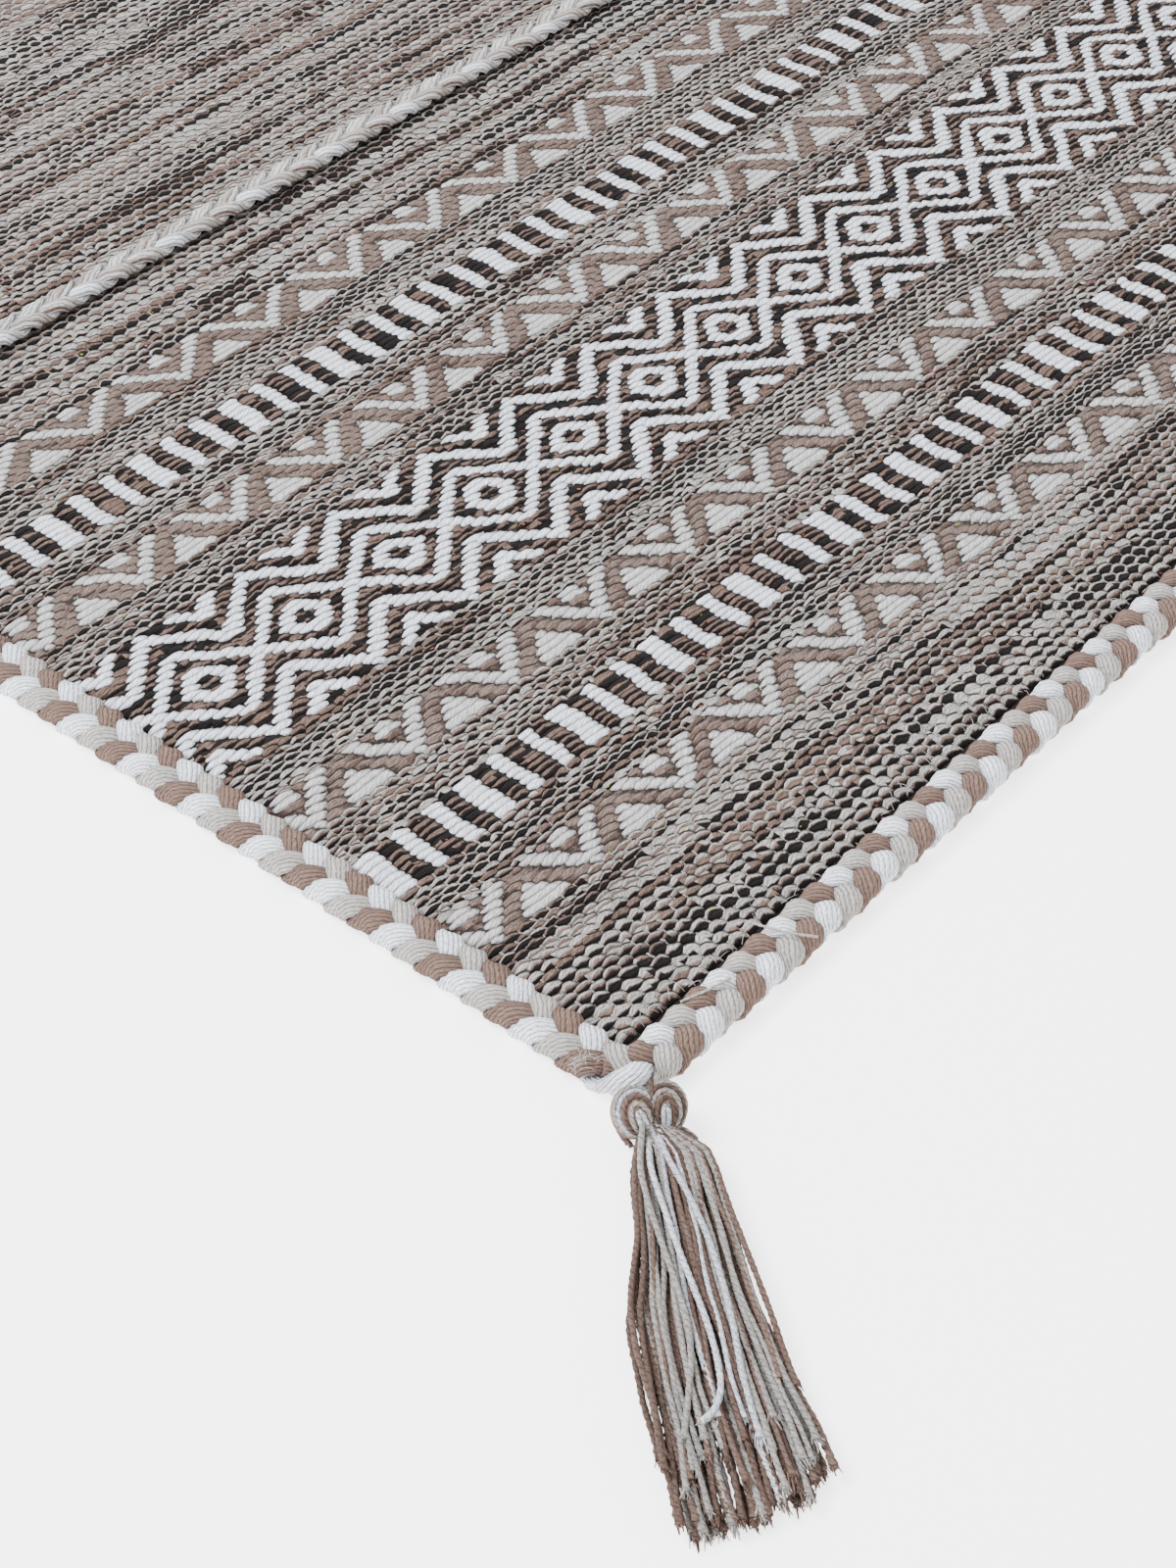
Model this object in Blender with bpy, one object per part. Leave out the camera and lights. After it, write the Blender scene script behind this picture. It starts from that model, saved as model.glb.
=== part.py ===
"""Flat-woven kilim rug with plaited edges and a tassel at each corner.

Units are metres, +Z is up.  The origin is the centre of the rug's underside.
The weft bands run along X (the rug's width) and follow each other along Y
(its length).  The rug lies on the plane z = 0.
"""
import math

import bmesh
import bpy

for old in list(bpy.data.objects):
    bpy.data.objects.remove(old, do_unlink=True)

MM = 0.001

# woven field
FIELD_W = 760 * MM
FIELD_L = 1460 * MM
FIELD_T = 5.6 * MM
BAND_RISE = 0.5 * MM
BAND_RAMP = 1.0 * MM
GAP = 0.3 * MM

# figured bands, measured inward from the end of the field: start and end
FIGURED = [(61, 82), (99, 126), (144, 167), (188, 267), (286, 309), (326, 352), (372, 396)]

# plaited edges, twenty millimetres wide and standing proud of the field
EDGE_W = 19.7 * MM
EDGE_H = 10.8 * MM
EDGE_LOBE = 10.67 * MM
EDGE_SECTION = [(-0.60, 0.0), (0.60, 0.0), (1.0, 0.42), (0.55, 1.0), (-0.55, 1.0), (-1.0, 0.42)]
LOBE_DIP = 0.86
CREST_DIP = 0.90

# plait sewn on top of the field, parallel to the bands
APPLIED_V = 453.5 * MM
APPLIED_W = 19.0 * MM
APPLIED_H = 6.4 * MM
APPLIED_LOBE = 17.0 * MM
APPLIED_INSET = 2 * MM
APPLIED_SECTION = [(-0.75, 0.0), (0.75, 0.0), (1.0, 0.40), (0.0, 1.0), (-1.0, 0.40)]

# tassel, in its own directions: s away from the rug's corner, w across, z up
TASSEL_DIR = (-0.627, -0.779)
CORNER_OUT = 20 * MM
HEAD_RINGS = [
    # s, centre of w, half width, lowest z, highest z, squareness
    (-9.3, 3.6, 3.4, 4.0, 11.5, 0.0),
    (-5.2, 5.0, 9.6, 2.2, 17.4, 0.0),
    (-0.8, 5.4, 12.8, 0.5, 19.6, 0.0),
    (3.4, 5.5, 14.0, 0.0, 20.2, 0.1),
    (7.6, 5.6, 12.9, 0.0, 18.6, 0.3),
    (11.0, 5.8, 10.9, 0.0, 14.4, 0.7),
    (13.0, 6.0, 10.0, 0.0, 11.6, 1.0),
]
LOCK_COLUMNS = 8
LOCK_MAX_W = 4.6
LOCK_GAP = 0.5
LAYER_GAP = 0.8
SKIRT = [
    # s, centre of w, half spread, top of the lower locks, bottom and top of the upper locks
    (18.0, 6.3, 10.8, 4.9, 5.5, 10.6),
    (34.0, 7.0, 14.2, 4.0, 4.5, 8.4),
    (66.0, 5.8, 19.0, 3.6, 4.1, 7.6),
    (106.0, 6.2, 22.8, 3.5, 4.0, 7.2),
]
SKIRT_TIP = (8.0, 25.6, 3.4, 3.9, 6.9)
LOCK_END_LOWER = [149.0, 151.5, 147.0, 150.5, 149.5, 148.0, 144.5, 138.0]
LOCK_END_UPPER = [141.0, 136.0, 144.0, 133.0, 139.5, 143.0, 135.0, 131.0]
CORNERS = {"front_left": (-1, -1), "front_right": (1, -1), "back_left": (-1, 1), "back_right": (1, 1)}
COTTON_ROUGHNESS = 0.95


def cotton(name, colour):
    material = bpy.data.materials.new(name)
    material.use_nodes = True
    shader = material.node_tree.nodes["Principled BSDF"]
    shader.inputs["Base Color"].default_value = (*colour, 1.0)
    shader.inputs["Roughness"].default_value = COTTON_ROUGHNESS
    return material


FIELD_COTTON = cotton("field_cotton", (0.36, 0.30, 0.27))
EDGE_COTTON = cotton("edge_cotton", (0.55, 0.48, 0.42))
PLAIT_COTTON = cotton("plait_cotton", (0.68, 0.66, 0.64))
TASSEL_COTTON = cotton("tassel_cotton", (0.52, 0.44, 0.38))


def add_part(name, verts, faces, material):
    """One closed mesh object, its faces turned outward."""
    bm = bmesh.new()
    points = [bm.verts.new(v) for v in verts]
    for face in faces:
        bm.faces.new([points[i] for i in face])
    bmesh.ops.recalc_face_normals(bm, faces=bm.faces[:])
    mesh = bpy.data.meshes.new(name)
    bm.to_mesh(mesh)
    bm.free()
    mesh.materials.append(material)
    ob = bpy.data.objects.new(name, mesh)
    bpy.context.scene.collection.objects.link(ob)
    return ob


def loft(rings):
    """Vertices and faces that join equal rings of points into a tube with closed ends."""
    count = len(rings[0])
    verts = [p for ring in rings for p in ring]
    faces = []
    for r in range(len(rings) - 1):
        a, b = r * count, (r + 1) * count
        for i in range(count):
            j = (i + 1) % count
            faces.append((a + i, a + j, b + j, b + i))
    faces.append(tuple(range(count)))
    faces.append(tuple(range(len(verts) - count, len(verts))))
    return verts, faces


def field():
    """The one-piece weave: a slab whose figured bands stand half a millimetre higher."""
    half = FIELD_L / 2
    bands = []
    for start, end in FIGURED:
        bands.append((-half + start * MM, -half + end * MM))
    bands += [(-b, -a) for a, b in reversed(bands)]
    profile = [(-half, 0.0), (-half, FIELD_T)]
    for a, b in bands:
        top = FIELD_T + BAND_RISE
        profile += [(a, FIELD_T), (a + BAND_RAMP, top), (b - BAND_RAMP, top), (b, FIELD_T)]
    profile += [(half, FIELD_T), (half, 0.0)]
    rings = [[(x, y, z) for y, z in profile] for x in (-FIELD_W / 2, FIELD_W / 2)]
    return add_part("field", *loft(rings), FIELD_COTTON)


def plait(name, path, section, width, height, base, material):
    """A plaited braid along (x, y, nx, ny) stations, n pointing to the braid's outer side.

    Its two rows of lobes are half a lobe out of step, so the stations swell in turn
    on the outer and on the inner side.
    """
    rings = []
    for k, (x, y, nx, ny) in enumerate(path):
        outer, inner = (1.0, LOBE_DIP) if k % 2 else (LOBE_DIP, 1.0)
        ring = []
        for across, up in section:
            swell = outer if across > 0 else inner if across < 0 else 1.0
            reach = across * width / 2 * (swell if up > 0 else 1.0)
            fullness = (swell - LOBE_DIP) / (1 - LOBE_DIP)
            crest = CREST_DIP + (1 - CREST_DIP) * fullness if up == 1.0 else 1.0
            ring.append((x + nx * reach, y + ny * reach, base + height * up * crest))
        rings.append(ring)
    return add_part(name, *loft(rings), material)


def straight(start, end, normal, lobe):
    """Stations every half lobe from start to end."""
    length = math.dist(start, end)
    count = max(2, round(length / (lobe / 2)))
    stations = []
    for i in range(count + 1):
        t = i / count
        stations.append((start[0] + (end[0] - start[0]) * t, start[1] + (end[1] - start[1]) * t, *normal))
    return stations


def corner(centre, radius, first, last, steps):
    """Stations round a corner, between two angles."""
    stations = []
    for i in range(steps + 1):
        angle = first + (last - first) * i / steps
        nx, ny = math.cos(angle), math.sin(angle)
        stations.append((centre[0] + nx * radius, centre[1] + ny * radius, nx, ny))
    return stations


def edges():
    """Two side braids along the length, and two end braids that turn both corners."""
    offset = GAP + EDGE_W / 2
    x0, y0 = FIELD_W / 2, FIELD_L / 2
    for name, side in (("braid_left", -1), ("braid_right", 1)):
        x = side * (x0 + offset)
        path = straight((x, -y0 + GAP), (x, y0 - GAP), (side, 0.0), EDGE_LOBE)
        plait(name, path, EDGE_SECTION, EDGE_W, EDGE_H, 0.0, EDGE_COTTON)
    for name, side in (("braid_front", -1), ("braid_back", 1)):
        quarter = math.pi / 2
        left = corner((-x0, side * y0), offset, 2 * quarter, (2 - side) * quarter, 3)
        right = corner((x0, side * y0), offset, side * quarter, 0.0, 3)
        middle = straight((-x0, side * (y0 + offset)), (x0, side * (y0 + offset)), (0.0, side), EDGE_LOBE)
        path = left[:-1] + middle + right[1:]
        plait(name, path, EDGE_SECTION, EDGE_W, EDGE_H, 0.0, EDGE_COTTON)


def applied_plaits():
    """The plait sewn on the field near each end, clear of its top by the gap."""
    for name, side in (("applied_front", -1), ("applied_back", 1)):
        y = side * (FIELD_L / 2 - APPLIED_V)
        x = FIELD_W / 2 - APPLIED_INSET
        path = straight((-x, y), (x, y), (0.0, side), APPLIED_LOBE)
        plait(name, path, APPLIED_SECTION, APPLIED_W, APPLIED_H, FIELD_T + GAP, PLAIT_COTTON)


def rim(columns, rows):
    """The border of a columns by rows grid, once round, as points of the square -1 to 1."""
    bottom = [(-1 + 2 * i / columns, -1.0) for i in range(columns)]
    right = [(1.0, -1 + 2 * j / rows) for j in range(rows)]
    top = [(1 - 2 * i / columns, 1.0) for i in range(columns)]
    left = [(-1.0, 1 - 2 * j / rows) for j in range(rows)]
    return bottom + right + top + left


def tassel_place(sx, sy):
    """Takes s, w and z in mm of the tassel at the corner that the signs sx and sy pick to x, y and z."""
    ex, ey = TASSEL_DIR
    cx, cy = -(FIELD_W / 2 + CORNER_OUT), -(FIELD_L / 2 + CORNER_OUT)

    def place(s, w, z):
        x = cx + (ex * s - ey * w) * MM
        y = cy + (ey * s + ex * w) * MM
        return (-sx * x, -sy * y, z * MM)

    return place


def head_ring(place, border, s, mid, half, low, high, square):
    """One ring of the head, between an ellipse and a rectangle as its squareness says."""
    ring = []
    for p, q in border:
        stretch = square + (1 - square) / math.hypot(p, q)
        u, v = p * stretch, q * stretch
        ring.append(place(s, mid + u * half, (low + high) / 2 + v * (high - low) / 2))
    return ring


def lock_stations(row, column):
    """Stations of one lock of the skirt: s, centre and width across, lowest and highest z."""
    neck_s, neck_mid, neck_half, low, high, _ = HEAD_RINGS[-1]
    across = (column + 0.5) * 2 / LOCK_COLUMNS - 1
    mean = (low + high) / 2
    half_gap = LAYER_GAP / 2
    root = ((low + GAP / MM, mean - half_gap), (mean + half_gap, high - half_gap))[row]
    end = (LOCK_END_LOWER, LOCK_END_UPPER)[row][column]
    stations = [(neck_s, neck_mid + across * neck_half, 2 * neck_half / LOCK_COLUMNS - LOCK_GAP, *root)]
    for s, centre, spread, lower_top, upper_low, upper_top in SKIRT + [(end, *SKIRT_TIP)]:
        wide = min(LOCK_MAX_W, 2 * spread / LOCK_COLUMNS - LOCK_GAP)
        heights = ((0.0, lower_top), (upper_low, upper_top))[row]
        stations.append((s, centre + across * spread, wide, *heights))
    return stations


def neck_grid(place, border, verts, first):
    """Index of each grid point of the neck; its middle row is added, its border is there."""
    grid = {}
    for index, (p, q) in enumerate(border):
        grid[round((p + 1) / 2 * LOCK_COLUMNS), round(q + 1)] = first + index
    s, mid, half, low, high, _ = HEAD_RINGS[-1]
    for i in range(1, LOCK_COLUMNS):
        grid[i, 1] = len(verts)
        verts.append(place(s, mid + (-1 + 2 * i / LOCK_COLUMNS) * half, (low + high) / 2))
    return grid


def tassel(name, sx, sy):
    """A looped head with two layers of locks of yarn drawn out of its neck."""
    place = tassel_place(sx, sy)
    border = rim(LOCK_COLUMNS, 2)
    count = len(border)
    verts, faces = loft([head_ring(place, border, *ring) for ring in HEAD_RINGS])
    faces.pop()
    grid = neck_grid(place, border, verts, len(verts) - count)
    for row in range(2):
        for column in range(LOCK_COLUMNS):
            around = ((0, 0), (1, 0), (1, 1), (0, 1))
            rings = [[grid[column + i, row + j] for i, j in around]]
            for s, w, wide, low, high in lock_stations(row, column):
                rings.append([len(verts) + i for i in range(4)])
                for side, z in ((-1, low), (1, low), (1, high), (-1, high)):
                    verts.append(place(s, w + side * wide / 2, z))
            for a, b in zip(rings, rings[1:]):
                for i in range(4):
                    j = (i + 1) % 4
                    faces.append((a[i], a[j], b[j], b[i]))
            faces.append(tuple(rings[-1]))
    return add_part(name, verts, faces, TASSEL_COTTON)


field()
edges()
applied_plaits()
for corner_name, signs in CORNERS.items():
    tassel("tassel_" + corner_name, *signs)
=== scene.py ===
"""The looks of a flat-woven kilim rug, laid out as a Blender add-on and run as a script.

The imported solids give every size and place.  The field is a sheet whose mesh has a line of
points along each weft row, and its pattern is charted row by row.  The plaits, the tassels and
the loose hairs are yarns swept along curves.  Lengths are metres unless a name ends in _mm.
"""

import math

import bmesh
import bpy
import numpy as np
from bpy.props import FloatProperty, FloatVectorProperty, IntProperty, PointerProperty
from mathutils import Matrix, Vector


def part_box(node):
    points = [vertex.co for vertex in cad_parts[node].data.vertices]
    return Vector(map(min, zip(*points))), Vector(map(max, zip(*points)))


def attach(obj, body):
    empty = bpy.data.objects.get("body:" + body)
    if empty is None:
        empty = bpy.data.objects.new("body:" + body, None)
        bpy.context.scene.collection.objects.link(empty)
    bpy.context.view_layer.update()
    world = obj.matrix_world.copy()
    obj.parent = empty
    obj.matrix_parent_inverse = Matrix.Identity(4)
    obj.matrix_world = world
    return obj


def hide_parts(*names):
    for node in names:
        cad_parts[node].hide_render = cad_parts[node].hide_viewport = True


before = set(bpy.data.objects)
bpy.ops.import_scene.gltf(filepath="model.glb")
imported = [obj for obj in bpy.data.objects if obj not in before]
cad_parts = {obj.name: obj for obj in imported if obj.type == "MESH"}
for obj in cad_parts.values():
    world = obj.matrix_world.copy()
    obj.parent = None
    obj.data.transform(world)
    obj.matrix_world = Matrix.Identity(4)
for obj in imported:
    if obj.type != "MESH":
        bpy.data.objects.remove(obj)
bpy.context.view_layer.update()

bl_info = {
    "name": "Kilim rug",
    "version": (1, 0, 0),
    "blender": (4, 5, 0),
    "location": "View3D > Sidebar > Rug",
    "description": "Weaves, plaits and knots the visible parts of a kilim rug over its solids",
    "category": "Object",
}

MM = 0.001
FIELD_LOW, FIELD_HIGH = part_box("field")
FIELD_X = FIELD_HIGH.x
FIELD_Y = FIELD_HIGH.y
EDGE_LOW, EDGE_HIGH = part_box("braid_left")

# The chart of one half of the rug, from its end to its middle: the kind of band, where it
# ends (mm from the end of the field) and the height of its weft rows (mm).
BANDS = [
    ("stripes", 37.0, 4.1),
    ("stripes", 61.0, 3.0),
    ("zigzag", 82.0, 3.0),
    ("stripes", 100.5, 2.8),
    ("dashes", 123.5, 3.3),
    ("stripes", 144.0, 2.8),
    ("zigzag", 167.0, 3.1),
    ("stripes", 188.0, 2.8),
    ("diamonds", 267.0, 2.93),
    ("stripes", 286.0, 2.8),
    ("zigzag", 309.0, 3.1),
    ("stripes", 326.0, 2.8),
    ("dashes", 349.0, 3.3),
    ("stripes", 372.0, 2.9),
    ("zigzag", 396.0, 3.0),
    ("stripes", 730.0, 3.65),
]
REPEAT_MM = 50.0
REPEAT_START_MM = 31.8
BEAD_MM = REPEAT_MM / 7
# How rows meet: the share of a row by which its border swings round the beads, the slant of a
# float, and how far the field laps under the side plaits.
NESTING = 0.13
SLANT = 0.085
EDGE_LAP_MM = 1.6
# The weave lies flat and straight this close to its edges (mm), and plain rows lie this much lower.
CALM_EDGE_MM = 25.0
PLAIN_DROP_MM = 0.45
# A bead is highest this far from its ends, and each row reads its own lane of the yarn texture.
HALF_FLOAT_MM = 3.4
LANE_MM = 17.3
# Beads and rows in a metre of the reverse, and tufts of fuzz in a metre of yarn.
REVERSE_PER_M = (140.0, 270.0, 1.0)
FUZZ_PER_M = 1100.0

# Yarn tones, the positions of the four yarn colours on one scale.
DARK, TAUPE, CREAM, WHITE = 0.0, 1 / 3, 2 / 3, 1.0
STRIPE_PLIES = [
    # top ply, middle ply, bottom ply, how often
    (CREAM, TAUPE, DARK, 0.20),
    (CREAM, DARK, DARK, 0.14),
    (CREAM, CREAM, DARK, 0.19),
    (CREAM, CREAM, TAUPE, 0.12),
    (CREAM, TAUPE, CREAM, 0.08),
    (CREAM, TAUPE, TAUPE, 0.08),
    (TAUPE, TAUPE, DARK, 0.08),
    (TAUPE, DARK, DARK, 0.05),
    (CREAM, CREAM, CREAM, 0.06),
]
GROUND_PLIES = [
    # upper ply, lower ply, how often, round the dashes and the diamonds
    (TAUPE, DARK, 0.58),
    (DARK, TAUPE, 0.15),
    (TAUPE, TAUPE, 0.06),
    (DARK, DARK, 0.21),
]
TAUPE_PLIES = [
    # the same round the zigzags
    (0.39, 0.36, 0.46),
    (0.40, 0.26, 0.40),
    (0.37, 0.16, 0.14),
]

# The light yarn of the zigzags lies between cream and white.  The share of plain beads with a
# dark bottom ply changes with the distance from the rug's end.
ZIGZAG_TONE = 0.76
END_DARK_MM = 32.0
FIGURES_START_MM = 60.0
FIGURES_END_MM = 380.0
END_DARK_SHARE = 0.50
FIGURES_DARK_SHARE = 0.46

# Tassel, in its own directions (mm): s away from the rug's corner, w across, z up.
TASSEL_DIR = (-0.627, -0.779)
NECK = (9.5, 3.8, 11.0)
LEFT_LOBE = ((3.2, -0.6, 9.7), (8.5, 7.3, 8.5))
RIGHT_LOBE = ((3.0, 10.0, 9.7), (8.4, 6.8, 8.4))
LOOP_REACH = ((30, 0.22), (38, 0.54), (46, 0.78), (54, 0.95), (62, 1.05))
LOBES = [
    # centre, radii, the pole at the neck, the side the loops bulge to, yarns from the core out
    (LEFT_LOBE, (0.89, 0.35, -0.10), (-0.24, -0.26, 0.92), "wctwc"),
    (RIGHT_LOBE, (0.90, -0.20, -0.05), (-0.22, 0.04, 0.96), "wtctc"),
]
STUBS = [
    # from, by way of, to, yarn
    ((-2.4, 6.0, 17.4), (3.4, 5.4, 16.6), (9.4, 6.4, 12.4), "t"),
    ((8.5, 10.0, 9.0), (13.0, 16.0, 6.5), (19.0, 20.8, 3.0), "t"),
    ((8.5, 9.0, 9.5), (11.0, 14.5, 7.5), (13.5, 18.0, 5.0), "c"),
    ((2.0, -6.2, 5.5), (5.0, -5.4, 3.6), (9.5, -3.4, 2.2), "t"),
    ((3.5, -5.6, 6.4), (6.5, -4.2, 4.2), (11.0, -2.4, 2.4), "t"),
]
SKIRT = [
    # s, centre of w, half spread
    (7.0, 6.0, 6.5),
    (10.0, 6.8, 9.0),
    (20.0, 8.0, 11.6),
    (29.0, 8.0, 13.2),
    (50.0, 6.9, 15.4),
    (74.0, 5.3, 18.9),
    (104.0, 6.0, 21.2),
    (122.0, 7.3, 22.8),
    (152.0, 8.5, 24.0),
]
SKIRT_END = ((-1.0, -0.9, -0.8, 0.0, 0.6, 1.0), (124.0, 147.0, 151.0, 149.0, 145.0, 136.0))
TOP_YARNS = "ttctcccctwctttwttccctcctct"
UNDER_YARNS = "tctttcttwttcttttcttttctt"
CURLS = [
    # loose yarns on top of a skirt: the yarn, then points along it
    ("w", ((9.0, 3.0, 9.5), (25.3, 0.4, 10.2), (40.0, 1.6, 9.8), (55.2, 2.8, 9.6), (70.2, 4.6, 9.4),
           (84.8, 6.3, 9.2), (97.0, 6.7, 9.0), (107.2, 6.0, 9.0), (113.5, 3.5, 9.0), (117.2, 0.2, 8.4),
           (116.9, -2.0, 7.6))),
    ("w", ((9.0, 5.0, 9.5), (22.4, 6.2, 10.6), (36.1, 9.7, 10.0), (53.3, 12.8, 9.4), (71.8, 13.8, 9.2),
           (86.1, 13.7, 9.0), (103.2, 12.6, 9.0), (116.5, 12.9, 8.4), (125.6, 13.5, 7.6))),
    ("c", ((8.5, 1.5, 13.5), (14.3, 0.1, 12.2), (24.7, -2.8, 10.6), (39.3, -2.6, 9.6), (54.5, -1.3, 9.4),
           (69.4, 0.0, 9.2), (83.8, 0.9, 9.0), (97.1, -0.9, 8.8), (109.7, -4.6, 8.2), (121.7, -8.2, 7.2))),
]
STRAY_YARNS = [
    # seen lying on the front left corner: the yarn, its radius, then points along it (mm)
    ("c", 0.6, ((-314.2, -726.0, 8.6), (-314.7, -732.5, 11.4), (-313.0, -741.4, 12.9),
                (-306.1, -750.6, 11.4))),
    ("c", 0.6, ((-357.0, -733.5, 9.6), (-350.0, -737.5, 11.4), (-339.2, -739.9, 10.8))),
]
# The box (mm) that holds the stitches on the front left corner.
STITCHES = ((-404.0, -731.0, 10.6), (-394.0, -724.5, 12.6))

# A strand of the edge plait and of the applied plait (mm): how far it swings to the side and
# up, half its width and height, and how many yarns show round it.
EDGE_STRAND = dict(wide=7.3, high=2.9, half_w=4.75, half_h=2.5, yarns=16, inner=0.78)
APPLIED_STRAND = dict(wide=4.4, high=1.5, half_w=3.6, half_h=1.8, yarns=8, points=16, per_period=26)
EDGE_MIDDLE_MM = 5.4


def hex_colour(text):
    """An sRGB colour such as #A0B1C2 as linear red, green and blue."""
    parts = [int(text[i : i + 2], 16) / 255 for i in (1, 3, 5)]
    return tuple(c / 12.92 if c <= 0.04045 else ((c + 0.055) / 1.055) ** 2.4 for c in parts)


class RugSizes(bpy.types.PropertyGroup):
    row_relief: FloatProperty(
        name="Row relief", description="How far a bead of weft stands above its ends",
        default=0.7 * MM, min=0.0, max=2 * MM, subtype="DISTANCE", unit="LENGTH")
    row_wander: FloatProperty(
        name="Row wander", description="How far the weft rows stray from straight lines",
        default=1.7 * MM, min=0.0, max=5 * MM, subtype="DISTANCE", unit="LENGTH")
    edge_period: FloatProperty(
        name="Edge plait period", description="Length in which a strand of the edge plait repeats",
        default=31.5 * MM, min=10 * MM, max=80 * MM, subtype="DISTANCE", unit="LENGTH")
    applied_period: FloatProperty(
        name="Applied plait period", description="Length in which a strand of the applied plait repeats",
        default=49.1 * MM, min=10 * MM, max=100 * MM, subtype="DISTANCE", unit="LENGTH")
    yarn_radius: FloatProperty(
        name="Tassel yarn radius", description="Radius of one two-ply yarn of a tassel",
        default=1.15 * MM, min=0.5 * MM, max=3 * MM, subtype="DISTANCE", unit="LENGTH")
    hair_count: IntProperty(
        name="Hairs along an end", default=170, min=0, max=600,
        description="Loose warp ends that show between the field and the end plait")


class YarnColours(bpy.types.PropertyGroup):
    white: FloatVectorProperty(
        name="White yarn", description="Bleached cotton", subtype="COLOR", size=3, min=0, max=1,
        default=hex_colour("#EEF0F9"))
    cream: FloatVectorProperty(
        name="Cream yarn", description="Unbleached cotton", subtype="COLOR", size=3, min=0, max=1,
        default=hex_colour("#B8B2AC"))
    taupe: FloatVectorProperty(
        name="Taupe yarn", description="Cotton dyed a greyed pink-brown", subtype="COLOR", size=3,
        min=0, max=1, default=hex_colour("#7C655B"))
    dark: FloatVectorProperty(
        name="Dark yarn", description="Cotton dyed a blackish brown", subtype="COLOR", size=3, min=0, max=1,
        default=hex_colour("#1A1414"))
    floor: FloatVectorProperty(
        name="Floor", description="Pale studio floor", subtype="COLOR", size=3, min=0, max=1,
        default=hex_colour("#F3F3F3"))


def add(tree, kind, inputs=(), out=0, **settings):
    """Adds one shader node, sets it up, fills or links its inputs and returns one of its outputs."""
    node = tree.nodes.new("ShaderNode" + kind)
    for name, value in settings.items():
        setattr(node, name, value)
    for key, value in dict(inputs).items():
        if isinstance(value, bpy.types.NodeSocket):
            tree.links.new(value, node.inputs[key])
        else:
            node.inputs[key].default_value = value
    return node.outputs[out]


def calc(tree, operation, *values):
    """Adds a math node that works on the given values or sockets, and returns its result."""
    return add(tree, "Math", enumerate(values), operation=operation)


def new_material(name):
    """An empty node material: its tree and the surface socket of its output."""
    material = bpy.data.materials.new(name)
    material.use_nodes = True
    material.node_tree.nodes.clear()
    output = material.node_tree.nodes.new("ShaderNodeOutputMaterial")
    return material, material.node_tree, output.inputs["Surface"]


def cotton_surface(tree, surface, colour, height, relief):
    """Matt cotton: nearly no gloss, a faint fuzz, and the yarn's relief as bump."""
    normal = add(tree, "Bump", {"Strength": 1.0, "Distance": relief, "Height": height})
    shader = add(tree, "BsdfPrincipled", {
        "Base Color": colour, "Normal": normal, "Roughness": 0.92, "IOR": 1.45,
        "Specular IOR Level": 0.06, "Sheen Weight": 0.03, "Sheen Roughness": 0.5})
    tree.links.new(shader, surface)


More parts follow.
